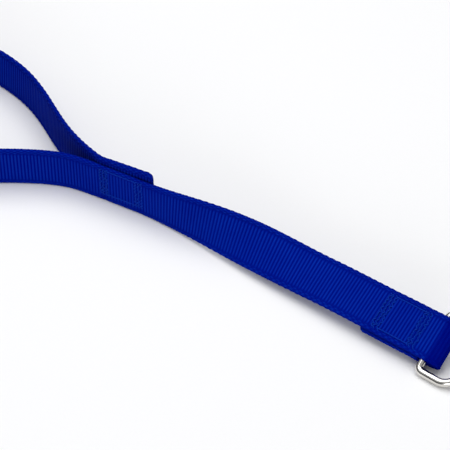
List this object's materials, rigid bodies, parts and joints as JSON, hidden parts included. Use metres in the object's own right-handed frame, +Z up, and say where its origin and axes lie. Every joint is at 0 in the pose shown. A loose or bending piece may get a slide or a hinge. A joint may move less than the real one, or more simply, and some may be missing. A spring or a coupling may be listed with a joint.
{
  "type": "head halter",
  "caption": "Webbing head halter for a dog: padded nose loop and neck strap linked by wire cheek rings, a rolled lead tab with a D-ring, and a roller buckle.",
  "frame": {"origin": "on the resting plane, at the middle of the lead tab's lower woven edge, under the loop-side bar of the nose-loop seam", "axes": "+Z up; the resting plane is z = 0; -X runs from the seam over the cheek rings to the neck strap; +X towards the lead ring's side; +Y from the buckle strap's side to the crown strap's side"},
  "size_m": [0.4521, 0.2072, 0.027],
  "materials": {
    "webbing": "royal blue ribbed nylon webbing, slight sheen",
    "thread": "royal blue bonded nylon thread",
    "padding": "royal blue knitted cover over soft foam",
    "nickel_plate": "bright nickel-plated steel wire"
  },
  "bodies": {
    "webbing": {"nose_strap": "webbing", "lead_seam_outer_bar": "thread", "lead_seam_inner_bar": "thread", "lead_seam_side_rows": "thread", "loop_seam_outer_bar": "thread", "loop_seam_inner_bar": "thread", "loop_seam_side_rows": "thread", "nose_pad": "padding", "nose_pad_seams": "thread", "buckle_strap": "webbing", "buckle_strap_ring_seam": "thread", "buckle_strap_pivot_seam": "thread", "crown_strap": "webbing", "crown_strap_ring_seam": "thread", "eyelets": "nickel_plate", "eyelet_washers": "nickel_plate"},
    "lead_ring": {"lead_ring": "nickel_plate"},
    "cheek_ring_near": {"cheek_ring_near": "nickel_plate"},
    "cheek_ring_far": {"cheek_ring_far": "nickel_plate"},
    "buckle_frame": {"buckle_frame": "nickel_plate"},
    "buckle_roller": {"buckle_roller": "nickel_plate"},
    "buckle_tongue": {"buckle_tongue": "nickel_plate"},
    "keeper_loop": {"keeper_loop": "webbing"}
  },
  "joints": [
    {"name": "lead_ring_swing", "type": "hinge", "parent": "webbing", "child": "lead_ring", "pos_m": [0.13357, -0.08486, 0.00909], "axis": [0.5254, 0.6773, 0.515], "range_deg": [-140, 140]},
    {"name": "cheek_ring_near_swing", "type": "hinge", "parent": "webbing", "child": "cheek_ring_near", "pos_m": [-0.07417, 0.00312, 0.0135], "axis": [0, 0, 1], "range_deg": [-25, 25]},
    {"name": "cheek_ring_far_swing", "type": "hinge", "parent": "webbing", "child": "cheek_ring_far", "pos_m": [-0.07417, 0.0853, 0.0135], "axis": [0, 0, 1], "range_deg": [-25, 25]},
    {"name": "buckle_swing", "type": "hinge", "parent": "webbing", "child": "buckle_frame", "pos_m": [-0.12217, 0.00312, 0.0135], "axis": [0, 0, 1], "range_deg": [-25, 25]},
    {"name": "roller_spin", "type": "hinge", "parent": "buckle_frame", "child": "buckle_roller", "pos_m": [-0.14217, 0.00312, 0.0135], "axis": [0, 0, 1], "continuous": true},
    {"name": "tongue_swing", "type": "hinge", "parent": "buckle_frame", "child": "buckle_tongue", "pos_m": [-0.12217, 0.00312, 0.0135], "axis": [0, 0, 1], "range_deg": [0, 75]},
    {"name": "keeper_slide", "type": "slide", "parent": "webbing", "child": "keeper_loop", "axis": [1, 0, 0], "range_m": [0, 0.012]}
  ]
}
